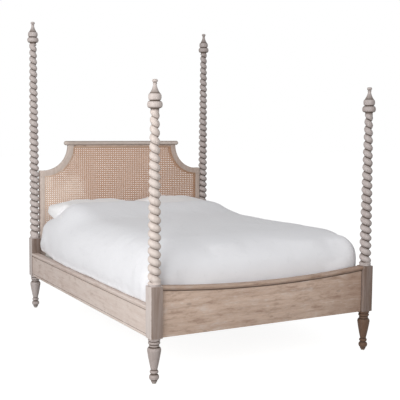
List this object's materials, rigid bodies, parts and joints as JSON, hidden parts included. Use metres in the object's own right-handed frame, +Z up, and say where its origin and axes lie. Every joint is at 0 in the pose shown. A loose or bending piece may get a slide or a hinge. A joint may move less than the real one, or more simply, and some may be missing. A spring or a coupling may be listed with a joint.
{
  "type": "four-poster bed",
  "caption": "Double four-poster bed in limed wood with barley-twist posts, turned finials and legs, a caned headboard with hollow shoulders, a dipped footboard and white bedding.",
  "frame": {"origin": "on the floor, under the middle of the four posts", "axes": "+X to the right seen from the foot, +Y from the foot to the headboard, +Z up"},
  "size_m": [1.564, 2.204, 2.19],
  "materials": {
    "limed_wood": "limed grey-pink, matt",
    "bare_wood": "planed, unfinished",
    "cane": "natural woven cane",
    "steel": "zinc plated",
    "nylon": "plain",
    "black_plastic": "plain",
    "mattress_cloth": "woven ticking",
    "white_cotton": "plain white cotton"
  },
  "bodies": {
    "root": {"post_base_foot_left": "limed_wood", "post_base_foot_right": "limed_wood", "post_base_head_left": "limed_wood", "post_base_head_right": "limed_wood", "twist_shaft_foot_left": "limed_wood", "twist_shaft_foot_right": "limed_wood", "twist_shaft_head_left": "limed_wood", "twist_shaft_head_right": "limed_wood", "finial_foot_left": "limed_wood", "finial_foot_right": "limed_wood", "finial_head_left": "limed_wood", "finial_head_right": "limed_wood", "shaft_rods": "steel", "finial_dowels": "bare_wood", "floor_glides": "nylon", "headboard_stile_left": "limed_wood", "headboard_stile_right": "limed_wood", "headboard_shoulder_left": "limed_wood", "headboard_shoulder_right": "limed_wood", "headboard_top_rail": "limed_wood", "headboard_bottom_rail": "limed_wood", "headboard_cap": "limed_wood", "cane_panel": "cane", "cane_spline": "cane", "headboard_dowels": "bare_wood", "headboard_bolts": "steel", "footboard_panel": "limed_wood", "footboard_cap": "limed_wood", "side_rail_left": "limed_wood", "side_rail_right": "limed_wood", "rail_cap_left": "limed_wood", "rail_cap_right": "limed_wood", "rail_hooks": "steel", "post_catches": "steel", "slat_ledger_left": "bare_wood", "slat_ledger_right": "bare_wood", "slats": "bare_wood", "centre_rail": "bare_wood", "centre_hangers": "steel", "centre_leg": "bare_wood", "centre_leveller": "black_plastic", "mattress": "mattress_cloth", "duvet": "white_cotton", "pillow_left": "white_cotton", "pillow_right": "white_cotton"}
  },
  "joints": []
}
